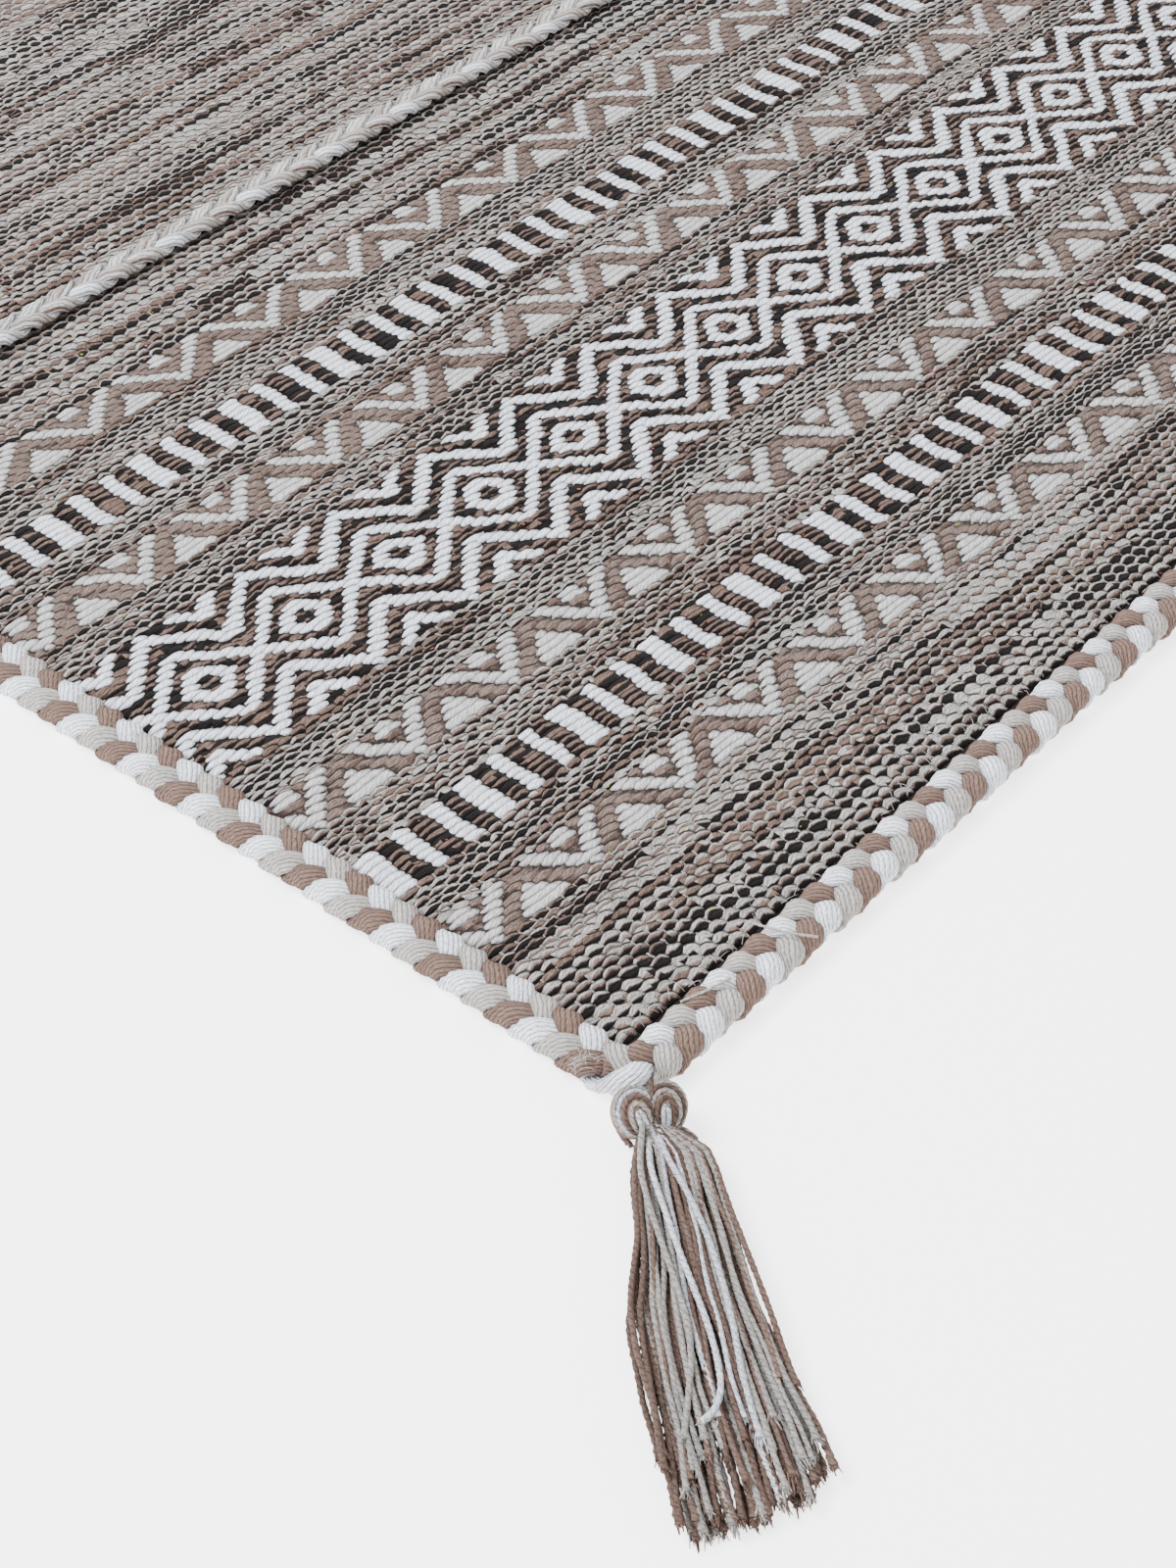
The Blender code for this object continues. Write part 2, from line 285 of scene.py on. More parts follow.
def weave_material(colours):
    """Weft-faced cotton weave: the eye sees rows of nested beads, each of slanted plies.

    The mesh carries the chart.  The weave attribute holds mm along the row, the row's number
    and its height.  The ends attribute holds the distance in mm from a float's end, for the
    row below and the row above, lean tells on which side that end lies, and the two yarn
    attributes hold the tones of those rows.
    """
    material, tree, surface = new_material("weft_faced_cotton")
    weave = add(tree, "Attribute", attribute_name="weave", out=1)
    along, row, height_mm = (add(tree, "SeparateXYZ", {0: weave}, out=k) for k in range(3))
    fraction = calc(tree, "FRACT", row)
    first = calc(tree, "FLOOR", row)
    ends = add(tree, "Attribute", attribute_name="ends", out=1)
    below_end, above_end = (add(tree, "SeparateXYZ", {0: ends}, out=k) for k in range(2))
    lean = add(tree, "Attribute", attribute_name="lean", out=1)
    below_lean, above_lean = (add(tree, "SeparateXYZ", {0: lean}, out=k) for k in range(2))
    yarn_below = add(tree, "Attribute", attribute_name="yarn_below", out=1)
    yarn_above = add(tree, "Attribute", attribute_name="yarn_above", out=1)

    # the line between two rows swings round the fat middle of each bead
    fat = []
    for end in (below_end, above_end):
        from_end = calc(tree, "ABSOLUTE", end)
        fat.append(calc(tree, "MINIMUM", from_end, 3.0))
    swing = calc(tree, "SUBTRACT", fat[0], fat[1])
    border = add(tree, "MapRange", {0: swing, 1: -3.0, 2: 3.0, 3: 0.5 - NESTING, 4: 0.5 + NESTING},
                 interpolation_type="SMOOTHSTEP")
    above = calc(tree, "GREATER_THAN", fraction, border)
    number = calc(tree, "ADD", first, above)
    upper_half = calc(tree, "DIVIDE", fraction, border)
    rest = calc(tree, "SUBTRACT", fraction, 1.0)
    rest_border = calc(tree, "SUBTRACT", 1.0, border)
    lower_half = calc(tree, "DIVIDE", rest, rest_border)
    across = add(tree, "Mix", {0: above, 2: upper_half, 3: lower_half})
    edge = add(tree, "Mix", {0: above, 2: below_end, 3: above_end})
    side = add(tree, "Mix", {0: above, 2: below_lean, 3: above_lean})
    tones = add(tree, "Mix", {0: above, 4: yarn_below, 5: yarn_above}, out=1, data_type="VECTOR")
    figure, upper_ply, lower_ply = (add(tree, "SeparateXYZ", {0: tones}, out=k) for k in range(3))
    plain = calc(tree, "LESS_THAN", figure, -0.5)

    # mm from the middle of the float, which slants the plies
    away = calc(tree, "ABSOLUTE", edge)
    sign = calc(tree, "SIGN", edge)
    inner = calc(tree, "SUBTRACT", BEAD_MM / 2, away)
    inner = calc(tree, "MAXIMUM", inner, 0.0)
    bow = calc(tree, "MULTIPLY", inner, inner)
    bow = calc(tree, "MULTIPLY", bow, plain)
    slant = sign
    for factor in (side, inner, -SLANT):
        slant = calc(tree, "MULTIPLY", slant, factor)
    leaning = calc(tree, "ADD", across, slant)

    # yarn texture lives in mm along and across the row, so a scale is a count per mm, and each
    # row reads its own lane of it
    lane = calc(tree, "MULTIPLY", number, LANE_MM)
    half_mm = calc(tree, "MULTIPLY", height_mm, 0.5)
    across_mm = calc(tree, "MULTIPLY_ADD", leaning, half_mm, lane)
    twisted = calc(tree, "MULTIPLY_ADD", along, -0.55, across_mm)
    place = add(tree, "CombineXYZ", {0: along, 1: across_mm})
    twist_place = add(tree, "CombineXYZ", {0: along, 1: twisted})
    stretch = add(tree, "Mapping", {0: twist_place, 3: (0.30, 2.1, 1.0)}, vector_type="POINT")
    fibres = add(tree, "TexNoise", {"Vector": stretch, "Scale": 1.0, "Detail": 4.0, "Roughness": 0.7})
    fuzz = add(tree, "TexNoise", {"Vector": place, "Scale": 2.4, "Detail": 3.0, "Roughness": 0.7})
    drift = add(tree, "TexNoise", {"Vector": place, "Scale": 0.32, "Detail": 1.0})
    phase = add(tree, "TexNoise", {"Vector": place, "Scale": 0.13, "Detail": 2.0})
    patch = add(tree, "TexNoise", {"Vector": place, "Scale": 0.03, "Detail": 0.0})
    rope = calc(tree, "MULTIPLY_ADD", fibres, 2.2, twisted)
    rope = calc(tree, "PINGPONG", rope, 0.75)
    rope = calc(tree, "DIVIDE", rope, 0.75)

    # a float is a fat lens, round across the row and pointed where it dives
    rim = calc(tree, "MULTIPLY", leaning, leaning)
    wobble = calc(tree, "MULTIPLY_ADD", drift, 1.3, -0.65)
    narrowing = calc(tree, "MULTIPLY_ADD", rim, -1.0, edge)
    narrowing = calc(tree, "ADD", narrowing, wobble)
    is_figure = add(tree, "MapRange", {0: narrowing, 1: -0.10, 2: 0.10, 3: 0.0, 4: 1.0})
    beside = calc(tree, "MULTIPLY_ADD", narrowing, -1.0, -0.3)
    reach = calc(tree, "MAXIMUM", narrowing, beside)
    reach = add(tree, "Mix", {0: plain, 2: reach, 3: away})
    lens = calc(tree, "MULTIPLY_ADD", rim, -0.5, reach)
    swell = add(tree, "MapRange", {0: lens, 1: -0.7, 2: 1.7, 3: 0.0, 4: 1.0},
                interpolation_type="SMOOTHERSTEP")
    crest = calc(tree, "SUBTRACT", 1.0, rim)
    crest = calc(tree, "MAXIMUM", crest, 0.0)
    crest = calc(tree, "POWER", crest, 0.6)
    bead = calc(tree, "MULTIPLY", swell, crest)

    # two plies of a ground float lie side by side, and a plain float has a third on top
    swinging = add(tree, "Mix", {0: plain, 2: 2.6, 3: 1.4})
    uneven = calc(tree, "SUBTRACT", phase, 0.5)
    uneven = calc(tree, "MULTIPLY_ADD", uneven, swinging, leaning)
    frayed = calc(tree, "MULTIPLY_ADD", fibres, 0.5, -0.25)
    split = calc(tree, "MULTIPLY_ADD", bow, 0.035, uneven)
    split = calc(tree, "ADD", split, frayed)
    split = calc(tree, "MULTIPLY_ADD", plain, 0.16, split)
    is_upper = add(tree, "MapRange", {0: split, 1: -0.13, 2: 0.13, 3: 0.0, 4: 1.0})
    ground = add(tree, "Mix", {0: is_upper, 2: lower_ply, 3: upper_ply})
    third = calc(tree, "SUBTRACT", split, 0.58)
    is_third = add(tree, "MapRange", {0: third, 1: -0.13, 2: 0.13, 3: 0.0, 4: 1.0})
    is_third = calc(tree, "MULTIPLY", is_third, plain)
    third_tone = calc(tree, "SUBTRACT", -1.0, figure)
    ground = add(tree, "Mix", {0: is_third, 2: ground, 3: third_tone})
    tone = add(tree, "Mix", {0: is_figure, 2: ground, 3: figure})
    split_depth = calc(tree, "ABSOLUTE", split)
    third_depth = calc(tree, "ABSOLUTE", third)
    groove = calc(tree, "MINIMUM", split_depth, third_depth)
    groove = add(tree, "MapRange", {0: groove, 1: 0.0, 2: 0.3, 3: 0.0, 4: 1.0},
                 interpolation_type="SMOOTHSTEP")
    groove = add(tree, "Mix", {0: is_figure, 2: groove, 3: 1.0})

    ramp = add(tree, "ValToRGB", {0: tone})
    stops = ramp.node.color_ramp.elements
    stops.new(TAUPE)
    stops.new(CREAM)
    for stop, position, colour in zip(stops, (DARK, TAUPE, CREAM, WHITE),
                                      (colours.dark, colours.taupe, colours.cream, colours.white)):
        stop.position = position
        stop.color = (*colour, 1.0)

    # cream warp shows as a short thread between the floats of the plain rows
    thread = add(tree, "MapRange", {0: away, 1: 0.28, 2: 0.5, 3: 1.0, 4: 0.0})
    thread = calc(tree, "MULTIPLY", thread, plain)
    open_weave = calc(tree, "MULTIPLY_ADD", patch, 1.2, drift)
    shows = add(tree, "MapRange", {0: open_weave, 1: 1.06, 2: 1.18, 3: 0.0, 4: 0.9})
    thread = calc(tree, "MULTIPLY", thread, shows)
    colour = add(tree, "Mix", {0: thread, 6: ramp, 7: (*colours.cream, 1.0)}, out=2, data_type="RGBA")

    # fibres lighten and darken the yarn, and shade is painted into the colour: in the crevices round each
    # float, in the grooves between the plies and along the yarn's twist
    streak = add(tree, "MapRange", {0: fibres, 1: 0.36, 2: 0.64, 3: 0.52, 4: 1.36})
    lint = add(tree, "MapRange", {0: fuzz, 1: 0.36, 2: 0.64, 3: 0.66, 4: 1.30})
    # the darkest painted shade in a crevice: lighter between figure floats, darkest in plain rows
    deepest_shade = add(tree, "Mix", {0: is_figure, 2: 0.16, 3: 0.5})
    deepest_shade = add(tree, "Mix", {0: plain, 2: deepest_shade, 3: 0.08})
    shade = add(tree, "MapRange", {0: bead, 1: 0.0, 2: 0.66, 3: deepest_shade, 4: 1.0},
                interpolation_type="SMOOTHSTEP")
    shade = calc(tree, "MAXIMUM", shade, thread)
    ply_shade = add(tree, "MapRange", {0: groove, 1: 0.0, 2: 1.0, 3: 0.62, 4: 1.0})
    rope_shade = add(tree, "MapRange", {0: rope, 1: 0.0, 2: 0.45, 3: 0.90, 4: 1.0})
    odd = calc(tree, "MODULO", number, 2.0)
    cell = calc(tree, "MULTIPLY_ADD", along, 1 / BEAD_MM, 0.5 - REPEAT_START_MM / BEAD_MM)
    cell = calc(tree, "MULTIPLY_ADD", odd, -0.5, cell)
    cell = calc(tree, "FLOOR", cell)
    cell = add(tree, "CombineXYZ", {0: cell, 1: number})
    cell = add(tree, "TexWhiteNoise", {0: cell}, noise_dimensions="2D")
    level = add(tree, "MapRange", {0: cell, 1: 0.0, 2: 1.0, 3: 0.80, 4: 1.14})
    level = add(tree, "Mix", {0: plain, 2: 1.0, 3: level})
    light = streak
    for factor in (lint, level, shade, ply_shade, rope_shade):
        light = calc(tree, "MULTIPLY", light, factor)
    tint = add(tree, "CombineXYZ", {0: light, 1: light, 2: light})
    colour = add(tree, "Mix", {0: 1.0, 6: colour, 7: tint}, out=2, data_type="RGBA", blend_type="MULTIPLY")

    # odd bright fibres spun into the recycled yarn
    fleck_place = add(tree, "Mapping", {0: place, 3: (0.35, 0.8, 1.0)}, vector_type="POINT")
    fleck_noise = add(tree, "TexNoise", {"Vector": fleck_place, "Scale": 0.9, "Detail": 0.0})
    fleck = add(tree, "MapRange", {0: fleck_noise, 1: 0.825, 2: 0.84, 3: 0.0, 4: 0.75})
    hues = add(tree, "ValToRGB", {0: patch})
    hue_stops = hues.node.color_ramp.elements
    hue_stops.new(0.5)
    for stop, position, hue in zip(hue_stops, (0.38, 0.5, 0.62), ("#C8643A", "#C2697A", "#A9A62E")):
        stop.position = position
        stop.color = (*hex_colour(hue), 1.0)
    colour = add(tree, "Mix", {0: fleck, 6: colour, 7: hues}, out=2, data_type="RGBA")

    ply_round = calc(tree, "MULTIPLY", groove, 0.28)
    body = calc(tree, "MULTIPLY_ADD", ply_round, bead, bead)
    for part, share in ((thread, 0.4), (rope, 0.12), (fibres, 0.55), (fuzz, 0.35)):
        body = calc(tree, "MULTIPLY_ADD", part, share, body)
    cotton_surface(tree, surface, colour, body, 1.5 * MM)
    return material


def underside_material(colours):
    """The reverse of the weave: the same rows as plain beads, in one marl, since it lies hidden."""
    material, tree, surface = new_material("weft_faced_cotton_reverse")
    place = add(tree, "TexCoord", out=3)
    rows = add(tree, "Mapping", {0: place, 3: REVERSE_PER_M}, vector_type="POINT")
    beads = add(tree, "TexBrick", {
        "Vector": rows, "Scale": 1.0, "Mortar Size": 0.06, "Mortar Smooth": 0.8, "Bias": 0.0,
        "Brick Width": 1.0, "Row Height": 1.0,
        "Color1": (*colours.cream, 1.0), "Color2": (*colours.dark, 1.0), "Mortar": (*colours.taupe, 1.0)})
    streaks = add(tree, "Mapping", {0: place, 3: (60.0, 700.0, 1.0)}, vector_type="POINT")
    fibres = add(tree, "TexNoise", {"Vector": streaks, "Scale": 1.0, "Detail": 3.0})
    height = add(tree, "TexBrick", {
        "Vector": rows, "Scale": 1.0, "Mortar Size": 0.2, "Mortar Smooth": 1.0, "Brick Width": 1.0,
        "Row Height": 1.0, "Color1": (1, 1, 1, 1), "Color2": (1, 1, 1, 1), "Mortar": (0, 0, 0, 1)})
    colour = add(tree, "Mix", {0: fibres, 6: beads, 7: (*colours.taupe, 1.0)}, out=2, data_type="RGBA")
    cotton_surface(tree, surface, colour, height, 0.8 * MM)
    return material


def yarn_material(name, yarn_mm, relief_mm, slant, crease_shade_level):
    """Cotton yarn: the eye sees parallel yarns, each with its own slanted twist and fuzz.

    The lay attribute holds mm along the yarn, the yarn's place round the strand and a random
    number, and the tint attribute holds the yarn's colour.
    """
    material, tree, surface = new_material(name)
    lay = add(tree, "Attribute", attribute_name="lay", out=1)
    along, around, chance = (add(tree, "SeparateXYZ", {0: lay}, out=k) for k in range(3))
    tint = add(tree, "Attribute", attribute_name="tint", out=0)
    place = add(tree, "CombineXYZ", {0: along, 1: around, 2: chance})
    bend = add(tree, "TexNoise", {"Vector": place, "Scale": 0.22, "Detail": 1.0})
    wander = calc(tree, "MULTIPLY_ADD", bend, 1.1, around)

    # a round yarn for each whole step of the place round the strand
    fraction = calc(tree, "FRACT", wander)
    middle = calc(tree, "SUBTRACT", fraction, 0.5)
    off = calc(tree, "MULTIPLY", middle, 2.0)
    square = calc(tree, "MULTIPLY", off, off)
    crown = calc(tree, "SUBTRACT", 1.0, square)
    crown = calc(tree, "POWER", crown, 0.8)
    index = calc(tree, "FLOOR", wander)
    own = add(tree, "CombineXYZ", {0: index, 1: chance})
    own = add(tree, "TexWhiteNoise", {0: own}, noise_dimensions="3D")

    # its twist, a slanted ridge every millimetre or two, and the fibres along it
    turn = calc(tree, "MULTIPLY", middle, slant)
    turn = calc(tree, "MULTIPLY_ADD", along, 1.0 / yarn_mm, turn)
    turn = calc(tree, "MULTIPLY_ADD", own, 3.0, turn)
    long_place = add(tree, "Mapping", {0: place, 3: (0.5, 3.0, 1.0)}, vector_type="POINT")
    fibres = add(tree, "TexNoise", {"Vector": long_place, "Scale": 1.8, "Detail": 4.0, "Roughness": 0.7})
    turn = calc(tree, "MULTIPLY_ADD", fibres, 0.35, turn)
    ridge = calc(tree, "PINGPONG", turn, 0.5)
    ridge = calc(tree, "MULTIPLY", ridge, 2.0)
    object_place = add(tree, "TexCoord", out=3)
    fuzz = add(tree, "TexNoise", {
        "Vector": object_place, "Scale": FUZZ_PER_M, "Detail": 4.0, "Roughness": 0.75})

    # level, streak and lint vary the yarn's tone at random; shade is painted into the colour in the crease
    # between neighbouring yarns and in the grooves of the twist
    level = add(tree, "MapRange", {0: own, 1: 0.0, 2: 1.0, 3: 0.84, 4: 1.12})
    streak = add(tree, "MapRange", {0: fibres, 1: 0.34, 2: 0.66, 3: 0.74, 4: 1.20})
    lint = add(tree, "MapRange", {0: fuzz, 1: 0.36, 2: 0.64, 3: 0.74, 4: 1.22})
    crease_shade = add(tree, "MapRange", {0: crown, 1: 0.0, 2: 0.75, 3: crease_shade_level, 4: 1.0})
    twist = add(tree, "MapRange", {0: ridge, 1: 0.0, 2: 0.6, 3: 0.76, 4: 1.0})
    light = level
    for factor in (streak, lint, crease_shade, twist):
        light = calc(tree, "MULTIPLY", light, factor)
    light = add(tree, "CombineXYZ", {0: light, 1: light, 2: light})
    colour = add(tree, "Mix", {0: 1.0, 6: tint, 7: light}, out=2, data_type="RGBA", blend_type="MULTIPLY")

    height = crown
    for part, share in ((ridge, 0.35), (fibres, 0.6), (fuzz, 0.3)):
        height = calc(tree, "MULTIPLY_ADD", part, share, height)
    cotton_surface(tree, surface, colour, height, relief_mm * MM)
    return material


def floor_material(colours):
    """Lit studio acrylic: an even pale matt that glows a little, with a very faint mottle."""
    material, tree, surface = new_material("lit_acrylic")
    place = add(tree, "TexCoord", out=3)
    mottle = add(tree, "TexNoise", {"Vector": place, "Scale": 3.0, "Detail": 2.0})
    level = add(tree, "MapRange", {0: mottle, 1: 0.0, 2: 1.0, 3: 0.99, 4: 1.0})
    tint = add(tree, "CombineXYZ", {0: level, 1: level, 2: level})
    colour = add(tree, "Mix", {0: 1.0, 6: tint, 7: (*colours.floor, 1.0)}, out=2,
                 data_type="RGBA", blend_type="MULTIPLY")
    shader = add(tree, "BsdfPrincipled", {
        "Base Color": colour, "Roughness": 0.8, "Specular IOR Level": 0.1,
        "Emission Color": (1.0, 1.0, 1.0, 1.0), "Emission Strength": 2.3})
    tree.links.new(shader, surface)
    return material


def chart_rows():
    """One entry for each weft row of the whole rug: its kind, its place in its band and its middle (mm)."""
    rng = np.random.default_rng(31)
    half = []
    start = 0.0
    for kind, end, height in BANDS:
        count = max(1, round((end - start) / height))
        steps = rng.uniform(0.72, 1.28, count) if kind == "stripes" else rng.uniform(0.93, 1.07, count)
        steps *= (end - start) / steps.sum()
        for index, step in enumerate(steps):
            half.append((kind, index, count, start + step / 2, step))
            start += step
    length = 2 * start
    other = [(kind, index, count, length - middle, step) for kind, index, count, middle, step in half]
    return half + other[::-1]


def nearest_repeat(u, place, pitch):
    """Signed distance (mm) from the nearest of the places that repeat at a pitch."""
    return (u - place + pitch / 2) % pitch - pitch / 2


def figure_edge(kind, index, count, u):
    """Distance in mm along one row from the edge of its light figure, positive inside it."""
    t = nearest_repeat(u, REPEAT_START_MM, REPEAT_MM)
    off_centre = np.abs(t)
    off_cross = REPEAT_MM / 2 - off_centre
    if kind == "dashes":
        thick = np.abs(nearest_repeat(u, REPEAT_START_MM + REPEAT_MM / 2 - 2.5, REPEAT_MM))
        thin = np.abs(nearest_repeat(u, REPEAT_START_MM + REPEAT_MM / 2 - 2.5, REPEAT_MM / 3))
        return np.maximum(5.3 - thick, 3.8 - thin)
    if kind == "zigzag":
        arm = 25.5 - 3.0 * (index - 0.4)
        arms = 4.0 - np.abs(off_centre - arm)
        triangle = (10.6 - 2.6 * index) - off_centre
        dot = (4.9 - off_cross) if index >= count - 2 else np.full_like(u, -30.0)
        return np.maximum(np.maximum(arms, triangle), dot)
    step = abs(index - (count - 1) / 2)
    edges = []
    if step < 2.5:
        edges.append(4.0 - np.abs(off_centre - (8.9 - 2.3 * step)))
    if 1.5 < step < 3.5:
        edges.append((11.9 - 2.2 * step) - off_centre)
    if step <= 7.8:
        edges.append(4.3 - np.abs(off_cross - 3.38 * step))
    if 4.5 <= step <= 13:
        edges.append(4.2 - np.abs(off_cross - 3.33 * (step - 4.9)))
    if step >= 9.5:
        edges.append(4.3 - np.abs(off_cross - 3.33 * max(0.0, step - 10.4)))
    return np.max(edges, axis=0)


def choose_plies(rng, plies, cells, change, start, streaky=0.0):
    """The ply tones, top first, for the half beads of a row, which change now and then."""
    odds = np.array([share for *_, share in plies]) * rng.exponential(size=len(plies)) ** streaky
    odds = odds / odds.sum()
    tones = np.zeros((cells, len(plies[0]) - 1))
    pick = rng.choice(len(plies), p=odds)
    for cell in range(cells):
        if cell % 2 == start and rng.random() < change:
            pick = rng.choice(len(plies), p=odds)
        tones[cell] = plies[pick][:-1]
    return tones


def weave_chart(u, seed):
    """Edge distances at the columns, and figure, upper and lower tones between them, for every row."""
    rng = np.random.default_rng(seed)
    rows = chart_rows()
    cells = len(u) - 1
    length = 2 * FIELD_Y / MM
    edges = np.zeros((len(rows), len(u)))
    tones = np.zeros((len(rows), cells, 3))
    for number, (kind, index, count, middle, step) in enumerate(rows):
        odd = number % 2
        off_centre = np.abs(nearest_repeat(u, REPEAT_START_MM + odd * BEAD_MM / 2, BEAD_MM))
        bead = BEAD_MM / 2 - off_centre
        if kind == "stripes":
            edges[number] = -bead
            plies = choose_plies(rng, STRIPE_PLIES, cells, rng.choice([0.15, 0.4]), 1 - odd, 1.9)
            near_end = min(middle, length - middle)
            share = 0.0
            if near_end < END_DARK_MM:
                share = END_DARK_SHARE
            elif FIGURES_START_MM < near_end < FIGURES_END_MM:
                share = FIGURES_DARK_SHARE
            plies[:, 2] = np.where(rng.random(cells) < share, DARK, plies[:, 2])
            tones[number] = np.column_stack([-1 - plies[:, 0], plies[:, 1:]])
        else:
            figure = figure_edge(kind, index, count, u)
            ground = -figure if kind == "dashes" else np.minimum(-figure, np.maximum(bead, 0.62))
            edges[number] = np.where(figure > 0, figure, -ground)
            plies = choose_plies(rng, TAUPE_PLIES if kind == "zigzag" else GROUND_PLIES, cells, 0.35, 1 - odd)
            light = ZIGZAG_TONE if kind == "zigzag" else WHITE
            tones[number] = np.column_stack([np.full(cells, light), plies])
    return rows, edges, tones


def ripple(u, v, seed, count=7, longest=420.0):
    """A smooth random field between about -1 and 1, from a few waves (mm)."""
    rng = np.random.default_rng(seed)
    total = np.zeros(np.broadcast(u, v).shape)
    for k in range(count):
        wave = longest / (1 + k * 0.9)
        angle = rng.uniform(0, math.pi)
        phase = rng.uniform(0, 2 * math.pi)
        place = u * math.cos(angle) * 0.6 + v * math.sin(angle)
        total = total + np.sin(place * 2 * math.pi / wave + phase) / (1 + 0.5 * k)
    return total / 2.2


def weave_field(sizes, colours):
    """The one-piece weave: a grid with a line of points along every weft row, walled and closed below."""
    width_mm, length_mm = 2 * FIELD_X / MM, 2 * FIELD_Y / MM
    first = REPEAT_START_MM % (BEAD_MM / 2)
    u = np.concatenate([[0.0], np.arange(first, width_mm - 0.4, BEAD_MM / 2), [width_mm]])
    rows, edges, tones = weave_chart(u, seed=126)
    middles = np.array([row[3] for row in rows])
    heights = np.array([row[4] for row in rows])
    v = np.concatenate([[0.0], middles, [length_mm]])
    number = np.concatenate([[-0.5], np.arange(len(rows)), [len(rows) - 0.5]])
    across, along = len(u) - 1, len(v) - 1

    bm = bmesh.new()
    bmesh.ops.create_grid(bm, x_segments=across, y_segments=along, size=1.0)
    top = bm.faces[:]
    rim = [e for e in bm.edges if e.is_boundary]
    wall = bmesh.ops.extrude_edge_only(bm, edges=rim)["geom"]
    lower = [e for e in wall if isinstance(e, bmesh.types.BMVert)]
    bmesh.ops.translate(bm, verts=lower, vec=(0, 0, -1))
    below = [e for e in wall if isinstance(e, bmesh.types.BMEdge) and e.is_boundary]
    bmesh.ops.edgeloop_fill(bm, edges=below)
    bmesh.ops.recalc_face_normals(bm, faces=bm.faces[:])
    mesh = bpy.data.meshes.new("woven_field")
    bm.to_mesh(mesh)
    top_count = len(top)
    bm.free()

    co = np.empty(len(mesh.vertices) * 3)
    mesh.vertices.foreach_get("co", co)
    co = co.reshape(-1, 3)
    i = np.rint((co[:, 0] + 1) / 2 * across).astype(int)
    j = np.rint((co[:, 1] + 1) / 2 * along).astype(int)
    raised = co[:, 2] > -0.5
    uu, vv = u[i], v[j]
    row_of = np.clip(j - 1, 0, len(rows) - 1)
    inside = np.minimum.reduce([uu, width_mm - uu, vv, length_mm - vv])
    fade = np.clip(inside / CALM_EDGE_MM, 0, 1)
    figured = np.array([0.0 if row[0] == "stripes" else 1.0 for row in rows])[row_of]
    stray = ripple(uu, vv, 3) + 0.5 * ripple(uu, vv, 4, count=9, longest=90.0)
    uneven = ripple(uu * 1.3, vv * 3.0, 6, count=12, longest=75.0)
    y = vv + fade * (stray * sizes.row_wander / MM + 0.45 * uneven)
    x = uu + fade * 1.1 * ripple(uu * 2.0, vv * 3.0, 7, count=12, longest=60.0)
    jitter = np.random.default_rng(12).normal(0, 1, (3, across + 1, along + 1))[:, i, j]
    loose = np.where(figured > 0, 0.45, 1.0) * np.clip(inside / 8.0, 0, 1)
    lap = np.where(uu < 0.1, -EDGE_LAP_MM, 0) + np.where(uu > width_mm - 0.1, EDGE_LAP_MM, 0)
    x = x + 0.5 * loose * jitter[0] + lap
    y = y + 0.28 * loose * jitter[1]
    bead = np.minimum(np.abs(edges[row_of, i]), HALF_FLOAT_MM) / HALF_FLOAT_MM
    fat = 0.25 * ripple(uu, vv, 5, count=9, longest=60.0)
    relief = sizes.row_relief / MM * (0.55 + 0.45 * figured)
    level = FIELD_HIGH.z / MM - PLAIN_DROP_MM * (1 - figured)
    z = level + relief * (bead - 0.6) + fat + 0.12 * jitter[2]
    z = np.where(inside < 0.1, z - 0.9, z)
    co[:, 0] = (x * MM) - FIELD_X
    co[:, 1] = (y * MM) - FIELD_Y
    co[:, 2] = np.where(raised, z * MM, FIELD_LOW.z)
    mesh.vertices.foreach_set("co", co.ravel())

    weave = np.column_stack([uu, number[j], heights[row_of]])
    mesh.attributes.new("weave", "FLOAT_VECTOR", "POINT").data.foreach_set("vector", weave.ravel())
    loops = np.empty(len(mesh.loops), dtype=np.int32)
    mesh.loops.foreach_get("vertex_index", loops)
    corners = loops[: top_count * 4].reshape(-1, 4)
    cell = i[corners].min(axis=1)
    line = j[corners].min(axis=1)
    below_row = np.clip(line - 1, 0, len(rows) - 1)
    above_row = np.clip(line, 0, len(rows) - 1)
    slopes = np.sign(np.diff(edges, axis=1))
    ends = np.zeros((len(loops), 3))
    lean = np.zeros((len(loops), 3))
    yarn_below = np.full((len(loops), 3), TAUPE)
    yarn_above = np.full((len(loops), 3), TAUPE)
    span = slice(0, top_count * 4)
    ends[span, 0] = edges[below_row[:, None], i[corners]].ravel()
    ends[span, 1] = edges[above_row[:, None], i[corners]].ravel()
    lean[span, 0] = np.repeat(slopes[below_row, cell], 4)
    lean[span, 1] = np.repeat(slopes[above_row, cell], 4)
    yarn_below[span] = np.repeat(tones[below_row, cell], 4, axis=0)
    yarn_above[span] = np.repeat(tones[above_row, cell], 4, axis=0)
    charted = {"ends": ends, "lean": lean, "yarn_below": yarn_below, "yarn_above": yarn_above}
    for name, values in charted.items():
        mesh.attributes.new(name, "FLOAT_VECTOR", "CORNER").data.foreach_set("vector", values.ravel())
    mesh.polygons.foreach_set("use_smooth", np.arange(len(mesh.polygons)) < top_count)
    slots = np.zeros(len(mesh.polygons), dtype=np.int32)
    slots[-1] = 1
    mesh.materials.append(weave_material(colours))
    mesh.materials.append(underside_material(colours))
    mesh.polygons.foreach_set("material_index", slots)
    mesh.update()
    return finish_piece("woven_field", mesh, "field_cotton", "field")


def finish_piece(name, mesh, slot, *nodes):
    """Links a finished mesh at the origin under the root body, and hides the solids that it stands for."""
    piece = bpy.data.objects.new(name, mesh)
    bpy.context.scene.collection.objects.link(piece)
    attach(piece, "root")
    if nodes:
        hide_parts(*nodes)
    return piece


